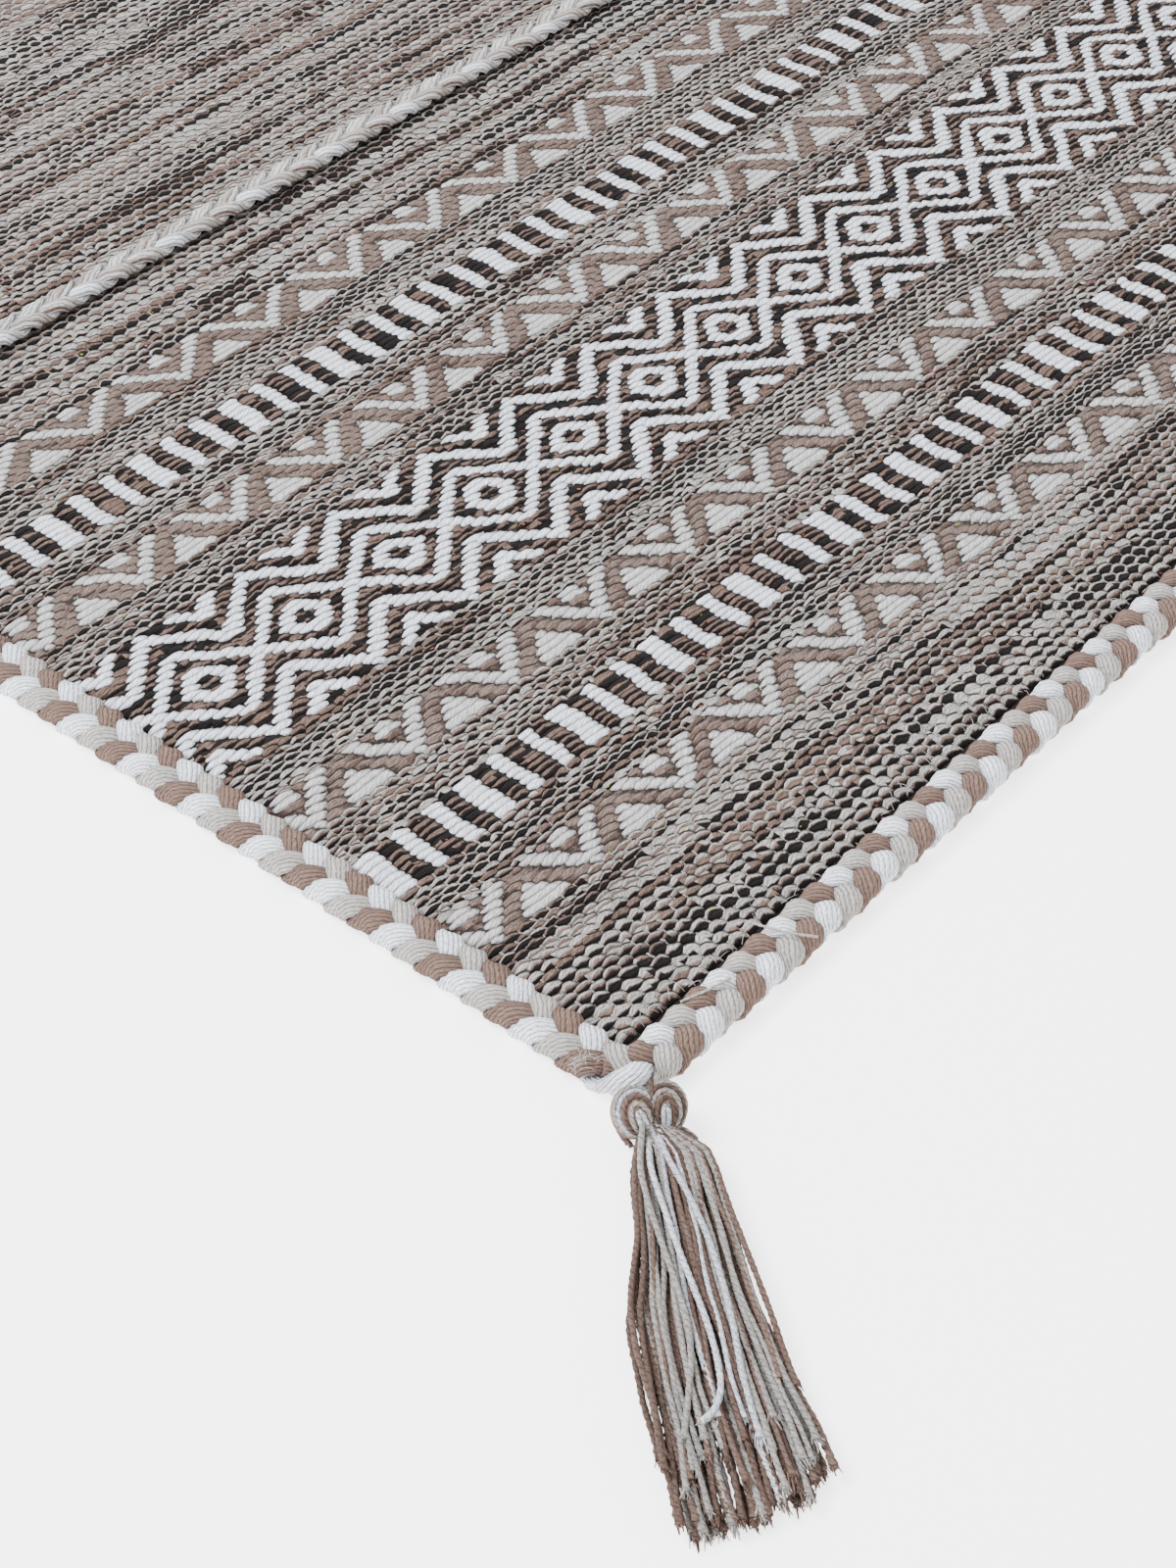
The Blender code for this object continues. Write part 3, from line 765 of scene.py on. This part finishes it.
def sweep(centre, half_w, half_h, points, up=(0.0, 0.0, 1.0), turn=0.0, waist=0.0):
    """Rings of points round a centre line, as an array of ring by point by xyz.

    up leans each ring's flat side that way, turn rotates the rings, and waist pinches them as
    two plies do.  The rings start at their underside, so that their seam is hidden there.
    """
    tangent = np.gradient(centre, axis=0)
    tangent /= np.linalg.norm(tangent, axis=1)[:, None]
    side = np.cross(tangent, np.broadcast_to(up, tangent.shape))
    side /= np.maximum(np.linalg.norm(side, axis=1), 1e-6)[:, None]
    up = np.cross(side, tangent)
    psi = np.arange(points) * 2 * math.pi / points - math.pi / 2
    pinch = 1 - waist * np.sin(psi) ** 2
    spin = np.broadcast_to(np.asarray(turn, dtype=float), (len(centre),))[:, None]
    across = np.cos(psi) * pinch * np.broadcast_to(half_w, (len(centre),))[:, None]
    above = np.sin(psi) * pinch * np.broadcast_to(half_h, (len(centre),))[:, None]
    a = across * np.cos(spin) - above * np.sin(spin)
    b = across * np.sin(spin) + above * np.cos(spin)
    return centre[:, None, :] + a[:, :, None] * side[:, None, :] + b[:, :, None] * up[:, None, :]


def joined_mesh(name, tubes, material):
    """One mesh of many closed tubes.  A tube is its rings, mm along, yarns round, a number and a tint."""
    co, lay, tint, loops, totals = [], [], [], [], []
    offset = 0
    for rings, along, yarns, chance, colour in tubes:
        count, points = rings.shape[:2]
        co.append(rings.reshape(-1, 3))
        tint.append(np.broadcast_to(colour, (count, points, 3)).reshape(-1, 3))
        index = offset + np.arange(count * points).reshape(count, points)
        after = np.roll(index, -1, axis=1)
        quads = np.stack([index[:-1], index[1:], after[1:], after[:-1]], axis=-1)
        here = np.broadcast_to(np.arange(points) * yarns / points, (count - 1, points))
        there = here + yarns / points
        near, far = (np.broadcast_to(end[:, None], (count - 1, points)) for end in (along[:-1], along[1:]))
        lay.append(np.column_stack([np.stack([near, far, far, near], axis=-1).ravel(),
                                    np.stack([here, here, there, there], axis=-1).ravel(),
                                    np.full(quads.size, chance)]))
        lay.append(np.full((2 * points, 3), (along[-1], 0.5, chance)))
        loops += [quads.reshape(-1), index[0], index[-1][::-1]]
        totals += [np.full((count - 1) * points, 4), [points, points]]
        offset += count * points
    co, lay, tint = np.concatenate(co), np.concatenate(lay), np.concatenate(tint)
    loops, totals = np.concatenate(loops), np.concatenate(totals)
    mesh = bpy.data.meshes.new(name)
    mesh.vertices.add(len(co))
    mesh.vertices.foreach_set("co", co.ravel())
    mesh.loops.add(len(loops))
    mesh.loops.foreach_set("vertex_index", loops.astype(np.int32))
    mesh.polygons.add(len(totals))
    mesh.polygons.foreach_set("loop_start", np.concatenate([[0], np.cumsum(totals)[:-1]]).astype(np.int32))
    mesh.polygons.foreach_set("use_smooth", np.ones(len(totals), dtype=bool))
    mesh.update(calc_edges=True)
    mesh.attributes.new("lay", "FLOAT_VECTOR", "CORNER").data.foreach_set("vector", lay.ravel())
    rgba = np.column_stack([tint, np.ones(len(tint))])
    mesh.attributes.new("tint", "FLOAT_COLOR", "POINT").data.foreach_set("color", rgba.ravel())
    mesh.materials.append(material)
    if mesh.validate():
        raise RuntimeError(f"{name}: the joined mesh had bad faces")
    return mesh


def plait_tubes(track, length_mm, period_mm, start_mm, wide, high, half_w, half_h, base_mm, tints, rng,
                points=14, per_period=22, yarns=24, inner=1.0):
    """The three strands of a flat plait that runs along a track.

    A strand swings from side to side once a period and dives under twice, so it lies on top on
    its way from either edge to the middle.  It is a flat ribbon that stands on edge where it
    turns over at the side of the plait.
    """
    count = max(8, round(length_mm / period_mm * per_period))
    s = np.linspace(0, length_mm, count)
    tubes = []
    for strand, tint in enumerate(tints):
        theta = 2 * math.pi * ((s - start_mm) / period_mm + strand / 3)
        x, y, nx, ny = track(s)
        swing = wide * np.cos(theta) * (1 + 0.07 * ripple(s, strand * 50.0, 21, longest=110.0))
        swing = np.where(swing < 0, inner * swing, swing)
        lift = base_mm + high * np.sin(2 * theta)
        centre = np.column_stack([x + nx * swing, y + ny * swing, lift]) * MM
        bank = math.pi / 2 * np.tanh(2.2 * np.sin(theta)) / math.tanh(2.2)
        up = np.column_stack([nx * np.cos(bank), ny * np.cos(bank), np.sin(bank)])
        plump = 1 + 0.06 * ripple(s, strand * 80.0, 22, longest=90.0)
        rings = sweep(centre, half_w * plump * MM, half_h * plump * MM, points, up=up)
        rings[:, :, 2] = np.maximum(rings[:, :, 2], FIELD_LOW.z)
        colour = np.asarray(tint)
        if colour.ndim == 2:
            colour = np.repeat(colour, math.ceil(points / len(colour)), axis=0)[:points][None, :, :]
        tubes.append((rings, s * 1.25, yarns, rng.random() * 50, colour))
    return tubes


def straight_track(x0, y0, dx, dy, nx, ny):
    """A straight line from a point in mm, with its outward side."""
    return lambda s: (x0 + dx * s, y0 + dy * s, np.full_like(s, nx), np.full_like(s, ny))


def end_track(side):
    """An end plait's line: round one corner, along the end and round the next, seen from above."""
    x0, y0 = FIELD_X / MM, FIELD_Y / MM
    radius = (EDGE_HIGH.x - EDGE_LOW.x) / 2 / MM + 0.3
    arc = radius * math.pi / 2

    def track(s):
        turn = np.clip(s / arc, 0, 1) + np.clip((s - arc - 2 * x0) / arc, 0, 1)
        angle = math.pi * (1 + turn / 2)
        run = np.clip(s - arc, 0, 2 * x0) - x0
        nx, ny = np.cos(angle), np.sin(angle)
        x, y = run + nx * radius, -y0 + ny * radius
        return (x, y, nx, ny) if side < 0 else (-x, -y, -nx, -ny)

    return track, 2 * arc + 2 * x0


def colour_of(colours, letter):
    """The colour of the yarn that a letter of a yarn list stands for."""
    return np.array({"w": colours.white, "c": colours.cream, "t": colours.taupe, "d": colours.dark}[letter])


def plait_edges(sizes, colours):
    """The plaited edge: one long plait round the rug, in four pieces as its solids are."""
    material = yarn_material("plaited_cotton", 1.7, 0.6, 1.3, 0.45)
    rng = np.random.default_rng(5)
    tints = [colour_of(colours, letter) for letter in "tcw"]
    period = sizes.edge_period / MM
    middle = (EDGE_LOW.x + EDGE_HIGH.x) / 2 / MM
    end = EDGE_HIGH.y / MM
    shape = dict(EDGE_STRAND, period_mm=period, base_mm=EDGE_MIDDLE_MM, tints=tints, rng=rng)
    pieces = []
    for name, side in (("braid_left", -1), ("braid_right", 1)):
        track = straight_track(side * abs(middle), -side * end, 0.0, side * 1.0, side * 1.0, 0.0)
        tubes = plait_tubes(track, 2 * end, start_mm=(2 * end - 70.0) % period, **shape)
        piece = "edge_plait_" + name.removeprefix("braid_")
        pieces.append(finish_piece(piece, joined_mesh(piece, tubes, material), "edge_cotton", name))
    for name, side in (("braid_front", -1), ("braid_back", 1)):
        track, length = end_track(side)
        arc = (length - 2 * FIELD_X / MM) / 2
        tubes = plait_tubes(track, length, start_mm=arc + 9.6, **shape)
        piece = "edge_plait_" + name.removeprefix("braid_")
        pieces.append(finish_piece(piece, joined_mesh(piece, tubes, material), "edge_cotton", name))
    return pieces


def sew_applied_plaits(sizes, colours):
    """The plait sewn on the field: thicker yarns, mostly cream, with some white, grey and taupe."""
    material = yarn_material("applied_cotton", 3.0, 0.8, 1.0, 0.42)
    rng = np.random.default_rng(8)
    white, cream, taupe = (colour_of(colours, letter) for letter in "wct")
    pale = 0.35 * white + 0.65 * cream
    grey = (cream + taupe) / 2
    tints = [np.array([cream, pale, pale, cream, pale, taupe, pale, grey]),
             np.array([pale, cream, pale, pale, white, pale, white, pale]),
             np.array([grey, pale, grey, cream, grey, pale, grey, cream])]
    pieces = []
    for name, side in (("applied_front", -1), ("applied_back", 1)):
        low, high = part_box(name)
        y = (low.y + high.y) / 2 / MM + side * 2.2
        track = straight_track(-side * high.x / MM, y, side * 1.0, 0.0, 0.0, side * 1.0)
        tubes = plait_tubes(track, (high.x - low.x) / MM, period_mm=sizes.applied_period / MM, start_mm=11.4,
                            base_mm=(low.z + high.z) / 2 / MM, tints=tints, rng=rng, **APPLIED_STRAND)
        piece = "sewn_plait_" + name.removeprefix("applied_")
        pieces.append(finish_piece(piece, joined_mesh(piece, tubes, material), "plait_cotton", name))
    return pieces


def tassel_place(sx, sy):
    """Turns points s, w, z (mm) of a tassel's own directions into the rug's frame (mm)."""
    ex, ey = TASSEL_DIR
    cx, cy = EDGE_LOW.x / MM, -(FIELD_Y / MM + 20.0)

    def place(points):
        s, w, z = points[:, 0], points[:, 1], points[:, 2]
        return np.column_stack([-sx * (cx + ex * s - ey * w), -sy * (cy + ey * s + ex * w), z])

    return place


def two_ply(place, path, radius_mm, tint, rng, step_mm=1.0, twist_mm=5.6, fade=0.0, points=6):
    """A two-ply yarn along a path in a tassel's directions."""
    steps = np.concatenate([[0], np.cumsum(np.linalg.norm(np.diff(path, axis=0), axis=1))])
    count = max(5, round(steps[-1] / step_mm))
    even = np.linspace(0, steps[-1], count)
    line = np.column_stack([np.interp(even, steps, path[:, k]) for k in range(3)])
    centre = place(line) * MM
    turn = 2 * math.pi * even / twist_mm + rng.uniform(0, math.pi)
    width = np.full(count, radius_mm)
    if fade:
        width = radius_mm * (1 + 0.25 * np.clip((even - even[-1] + fade) / fade, 0, 1))
    rings = sweep(centre, width * MM, width * 0.86 * MM, points, turn=turn, waist=0.09)
    # each yarn is darkened to about 0.61 of its colour, a little more or less at random: partly painted shade
    # for the depth of the tassel, partly a darker yarn than the field's
    shade = 0.61 + 0.08 * rng.standard_normal()
    rings[:, :, 2] = np.maximum(rings[:, :, 2], FIELD_LOW.z)
    return rings, even, 2, rng.random() * 50, np.clip(np.asarray(tint) * shade, 0, 1)


def skirt_path(across, layer, layers, end, rng, radius):
    """The path of one yarn of a skirt: out of the neck, down to its layer and along the floor."""
    s = np.linspace(7.0, end, 60)
    table = np.array(SKIRT)
    centre = np.interp(s, table[:, 0], table[:, 1])
    spread = np.interp(s, table[:, 0], table[:, 2])
    gather = np.clip((s - 8.0) / 13.0, 0, 1) ** (0.7 if layer == layers - 1 else 0.4)
    centre = NECK[1] + (centre - NECK[1]) * gather
    spread = 2.0 + (spread - 2.0) * gather
    seed = int(rng.integers(1000))
    loose = np.clip((s - 12) / 40, 0, 1)
    sway = 2.3 * ripple(s, across * 90.0, seed, count=3, longest=130.0)
    sway = sway + 0.9 * ripple(s, across * 90.0, seed + 1, count=3, longest=45.0)
    w = centre + across * spread + sway * loose
    flat = radius + layer * 2.6
    flat = flat + 0.8 * (1 + ripple(s, across * 70.0, seed + 2, count=3, longest=60.0)) * loose * (layer > 0)
    neck = 2.6 + (layer + 0.5) * 9.4 / layers
    rise = np.exp(-((s - 7.0) / 18.0) ** 2)
    z = flat + np.maximum(neck - flat, 0) * rise
    return np.column_stack([s, w, z])


def loop_from(centre, radii, pole, facing, spread, squeeze):
    """A loop of an ellipsoid that leaves a pole, goes round towards the facing side and comes back."""
    pole = np.array(pole) / np.linalg.norm(pole)
    facing = np.array(facing) - pole * (pole @ facing)
    middle = pole * math.cos(spread) + facing / np.linalg.norm(facing) * math.sin(spread)
    one = np.cross(middle, pole)
    one /= np.linalg.norm(one)
    two = np.cross(middle, one)
    two *= np.sign(two @ pole)
    turn = np.linspace(0.1, 2 * math.pi - 0.1, 44)
    unit = middle * math.cos(spread) + math.sin(spread) * (
        np.cos(turn)[:, None] * two + squeeze * np.sin(turn)[:, None] * one)
    return np.array(centre) + unit / np.linalg.norm(unit, axis=1)[:, None] * radii


def smooth(points, step_mm=2.0):
    """A smooth path through points, by averaging the straight path over a short window."""
    points = np.array(points)
    steps = np.concatenate([[0], np.cumsum(np.linalg.norm(np.diff(points, axis=0), axis=1))])
    even = np.linspace(0, steps[-1], max(6, round(steps[-1] / step_mm)))
    path = np.column_stack([np.interp(even, steps, points[:, k]) for k in range(3)])
    for _ in range(6):
        path[1:-1] = (path[:-2] + 2 * path[1:-1] + path[2:]) / 4
    return path


def knot_tassel(name, sx, sy, sizes, colours, material, seed):
    """A tassel: two lobes of looped yarn, and three layers of yarn below their neck."""
    rng = np.random.default_rng(seed)
    place = tassel_place(sx, sy)
    radius = sizes.yarn_radius / MM
    tubes = []
    layers = [(0, UNDER_YARNS), (1, UNDER_YARNS[::-1]), (2, TOP_YARNS)]
    for layer, letters in layers:
        for k, letter in enumerate(letters):
            across = -1 + 2 * (k + 0.5) / len(letters) + rng.normal(0, 0.03)
            limit = np.interp(across, *SKIRT_END)
            end = limit - abs(rng.normal(0, 2.5)) - (0 if layer < 2 else rng.uniform(2, 32))
            path = skirt_path(across, layer, len(layers), end, rng, radius)
            tint = colour_of(colours, letter)
            thick = radius * rng.uniform(0.85, 1.08)
            if layer < len(layers) - 1:
                tubes.append(two_ply(place, path, thick * 1.25, tint, rng, fade=6.0, step_mm=1.5, points=5))
            else:
                tubes.append(two_ply(place, path, thick, tint, rng, fade=6.0))
            tubes += frayed_tip(place, path, radius, tint, rng)
    fine = radius * 0.82
    for (centre, radii), pole, facing, letters in LOBES:
        for letter, (spread, squeeze) in zip(letters, LOOP_REACH):
            path = loop_from(centre, radii, pole, facing, math.radians(spread), squeeze)
            tubes.append(two_ply(place, path, fine, colour_of(colours, letter), rng, twist_mm=4.5))
    for letter, points in CURLS:
        path = smooth(points)
        tubes.append(two_ply(place, path, radius, colour_of(colours, letter), rng, fade=6.0))
        tubes += frayed_tip(place, path, radius, colour_of(colours, letter), rng)
    for start, bend, stop, letter in STUBS:
        tubes.append(two_ply(place, np.array([start, bend, stop]), fine, colour_of(colours, letter), rng))
    for centre, radii in (LEFT_LOBE, RIGHT_LOBE):
        x = np.linspace(-0.93, 0.93, 11)
        line = np.array(centre) + np.outer(x * radii[0], (1, 0, 0))
        thick = np.sqrt(1 - x ** 2)
        core = sweep(place(line) * MM, radii[1] * thick * MM, radii[2] * thick * MM, 16)
        tubes.append((core, np.linspace(0, 18, 11), 14, 3.0, colour_of(colours, "t")))
    mesh = joined_mesh(name, tubes, material)
    return finish_piece(name, mesh, "tassel_cotton", "tassel_" + name.removeprefix("yarned_"))


def frayed_tip(place, path, radius, tint, rng):
    """The loose fibres at the cut end of a yarn."""
    start, step = path[-1], path[-1] - path[-2]
    step = step / np.linalg.norm(step)
    t = np.linspace(0, 1, 4)[:, None]
    tubes = []
    for _ in range(9):
        root = start - step * 1.5 + rng.normal(0, 0.5 * radius, 3) * (1, 1, 0.5)
        aim = step + rng.normal(0, 0.24, 3) * (1, 1, 0.5)
        line = root + aim * rng.uniform(1.8, 4.2) * t
        line[:, 2] = np.maximum(line[:, 2] - 0.5 * t[:, 0], 0.55)
        thick = rng.uniform(0.30, 0.52) * (1 - 0.55 * t[:, 0]) * MM
        fluff = np.clip(np.asarray(tint) * rng.uniform(0.95, 1.3), 0, 1)
        tubes.append((sweep(place(line) * MM, thick, thick, 3), t[:, 0] * 5, 1, rng.random(), fluff))
    return tubes


def frayed_hairs(sizes, colours, material):
    """Loose warp ends along each end plait, the two stray yarns and the stitches at a corner."""
    rng = np.random.default_rng(17)
    tubes = []
    for side in (-1, 1):
        for _ in range(sizes.hair_count):
            x = rng.uniform(-FIELD_X + 0.004, FIELD_X - 0.004) / MM
            y = FIELD_Y / MM - rng.uniform(-1.0, 4.0)
            lean = rng.normal(0.0, 0.7)
            length = rng.uniform(3.0, 8.0)
            t = np.linspace(0, 1, 5)
            lift = FIELD_HIGH.z / MM + 0.3 + length * 0.25 * np.sin(t * math.pi * rng.uniform(0.5, 1.0))
            line = np.column_stack([x + length * math.sin(lean) * t + rng.normal(0, 0.5) * t * t,
                                    side * (y - length * math.cos(lean) * t * rng.choice([-0.5, 1.0])), lift])
            thick = 0.14 * MM * (1 - 0.6 * t)
            rings = sweep(line * MM, thick, thick, 3)
            tint = colour_of(colours, "c") * (1 if rng.random() < 0.7 else 0.75)
            tubes.append((rings, t * length, 1, rng.random(), tint))
    for letter, radius, points in STRAY_YARNS:
        path = smooth(points, step_mm=0.8) * MM
        turn = np.arange(len(path)) * 0.8 * 2 * math.pi / 5
        rings = sweep(path, radius * MM, radius * 0.75 * MM, 8, turn=turn, waist=0.1)
        tubes.append((rings, np.arange(len(path)) * 0.8, 2, 2.0, colour_of(colours, letter) * 0.9))
    low, high = np.array(STITCHES)
    for _ in range(24):
        start = rng.uniform(low, high)
        angle = rng.normal(rng.choice([-0.5, 0.9]), 0.35)
        aim = np.array([math.cos(angle), math.sin(angle), 0.0])
        t = np.linspace(0, 1, 5)[:, None]
        line = start + aim * rng.uniform(3.0, 5.5) * t + (0, 0, 1) * np.sin(t * math.pi)
        rings = sweep(line * MM, 0.11 * MM, 0.11 * MM, 3)
        tubes.append((rings, t[:, 0] * 4, 1, rng.random(), colour_of(colours, "c")))
    mesh = joined_mesh("warp_ends", tubes, material)
    return finish_piece("warp_ends", mesh, "field_cotton")


class RUG_OT_field(bpy.types.Operator):
    """Weave the field"""

    bl_idname = "rug.weave_field"
    bl_label = "Weave the field"

    def execute(self, context):
        field = weave_field(context.scene.rug_sizes, context.scene.rug_colours)
        return {"FINISHED"}


class RUG_OT_edges(bpy.types.Operator):
    """Plait the four edges"""

    bl_idname = "rug.plait_edges"
    bl_label = "Plait the edges"

    def execute(self, context):
        plait_edges(context.scene.rug_sizes, context.scene.rug_colours)
        return {"FINISHED"}


class RUG_OT_applied(bpy.types.Operator):
    """Sew the plaits on the field"""

    bl_idname = "rug.sew_plaits"
    bl_label = "Sew on the plaits"

    def execute(self, context):
        sew_applied_plaits(context.scene.rug_sizes, context.scene.rug_colours)
        return {"FINISHED"}


class RUG_OT_tassels(bpy.types.Operator):
    """Knot a tassel at each corner"""

    bl_idname = "rug.knot_tassels"
    bl_label = "Knot the tassels"

    def execute(self, context):
        material = yarn_material("twisted_cotton", 1.3, 0.4, 1.5, 0.6)
        corners = (("front_left", -1, -1), ("front_right", 1, -1), ("back_left", -1, 1), ("back_right", 1, 1))
        for seed, (corner, sx, sy) in enumerate(corners):
            knot_tassel("yarned_" + corner, sx, sy, context.scene.rug_sizes,
                        context.scene.rug_colours, material, 40 + seed)
        return {"FINISHED"}


class RUG_OT_hairs(bpy.types.Operator):
    """Pull out the loose warp ends"""

    bl_idname = "rug.fray_ends"
    bl_label = "Fray the ends"

    def execute(self, context):
        material = yarn_material("loose_cotton_fibre", 2.0, 0.1, 1.0, 0.9)
        frayed_hairs(context.scene.rug_sizes, context.scene.rug_colours, material)
        return {"FINISHED"}


class RUG_OT_stage(bpy.types.Operator):
    """Lay the floor, and set the camera and the lights"""

    bl_idname = "rug.set_stage"
    bl_label = "Set the stage"

    def execute(self, context):
        set_stage(context.scene)
        return {"FINISHED"}


def set_stage(scene):
    """A pale floor, a wide soft light from the far left, and a camera where the photograph's stood."""
    colours = scene.rug_colours
    bm = bmesh.new()
    bmesh.ops.create_grid(bm, x_segments=1, y_segments=1, size=12.0)
    bmesh.ops.translate(bm, verts=bm.verts[:], vec=(0, 0, -0.0002))
    mesh = bpy.data.meshes.new("floor")
    bm.to_mesh(mesh)
    bm.free()
    mesh.materials.append(floor_material(colours))
    floor = bpy.data.objects.new("floor", mesh)
    scene.collection.objects.link(floor)

    world = bpy.data.worlds.new("studio")
    world.use_nodes = True
    world.node_tree.nodes["Background"].inputs["Color"].default_value = (1.0, 1.0, 1.0, 1.0)
    world.node_tree.nodes["Background"].inputs["Strength"].default_value = 1.93
    scene.world = world
    lamp = bpy.data.lights.new("soft_box", "AREA")
    lamp.shape = "RECTANGLE"
    lamp.size, lamp.size_y = 2.4, 1.8
    lamp.energy = 262.0
    lamp.color = (0.91, 0.955, 1.0)
    light = bpy.data.objects.new("soft_box", lamp)
    light.location = (-1.5, 1.0, 2.6)
    light.rotation_euler = (Vector((-0.1, -0.35, 0.0)) - light.location).to_track_quat("-Z", "Y").to_euler()
    scene.collection.objects.link(light)

    # The camera was found from the straight edges and the repeats in the photograph.
    lens = bpy.data.cameras.new("camera")
    lens.sensor_width = 36.0
    lens.lens = 65.63
    lens.clip_start, lens.clip_end = 0.02, 60.0
    camera = bpy.data.objects.new("camera", lens)
    azimuth, elevation = math.radians(-48.84), math.radians(43.92)
    back = Vector((math.sin(azimuth) * math.cos(elevation), -math.cos(azimuth) * math.cos(elevation),
                   math.sin(elevation)))
    camera.location = (-0.8443, -1.1196, 0.706)
    camera.rotation_euler = (-back).to_track_quat("-Z", "Y").to_euler()
    scene.collection.objects.link(camera)
    scene.camera = camera


class RUG_PT_panel(bpy.types.Panel):
    """Lists the rug's operators in the sidebar"""

    bl_idname = "RUG_PT_panel"
    bl_label = "Kilim rug"
    bl_space_type = "VIEW_3D"
    bl_region_type = "UI"
    bl_category = "Rug"

    def draw(self, context):
        for operator in OPERATORS:
            self.layout.operator(operator.bl_idname)
        for group in (context.scene.rug_sizes, context.scene.rug_colours):
            for key in group.__annotations__:
                self.layout.prop(group, key)


OPERATORS = (RUG_OT_field, RUG_OT_edges, RUG_OT_applied, RUG_OT_tassels, RUG_OT_hairs, RUG_OT_stage)
CLASSES = (RugSizes, YarnColours, *OPERATORS, RUG_PT_panel)


def register():
    for cls in CLASSES:
        bpy.utils.register_class(cls)
    bpy.types.Scene.rug_sizes = PointerProperty(type=RugSizes)
    bpy.types.Scene.rug_colours = PointerProperty(type=YarnColours)


def unregister():
    del bpy.types.Scene.rug_colours
    del bpy.types.Scene.rug_sizes
    for cls in reversed(CLASSES):
        bpy.utils.unregister_class(cls)


def main():
    register()
    bpy.ops.rug.weave_field()
    bpy.ops.rug.plait_edges()
    bpy.ops.rug.sew_plaits()
    bpy.ops.rug.knot_tassels()
    bpy.ops.rug.fray_ends()
    bpy.ops.rug.set_stage()


if __name__ == "__main__":
    main()
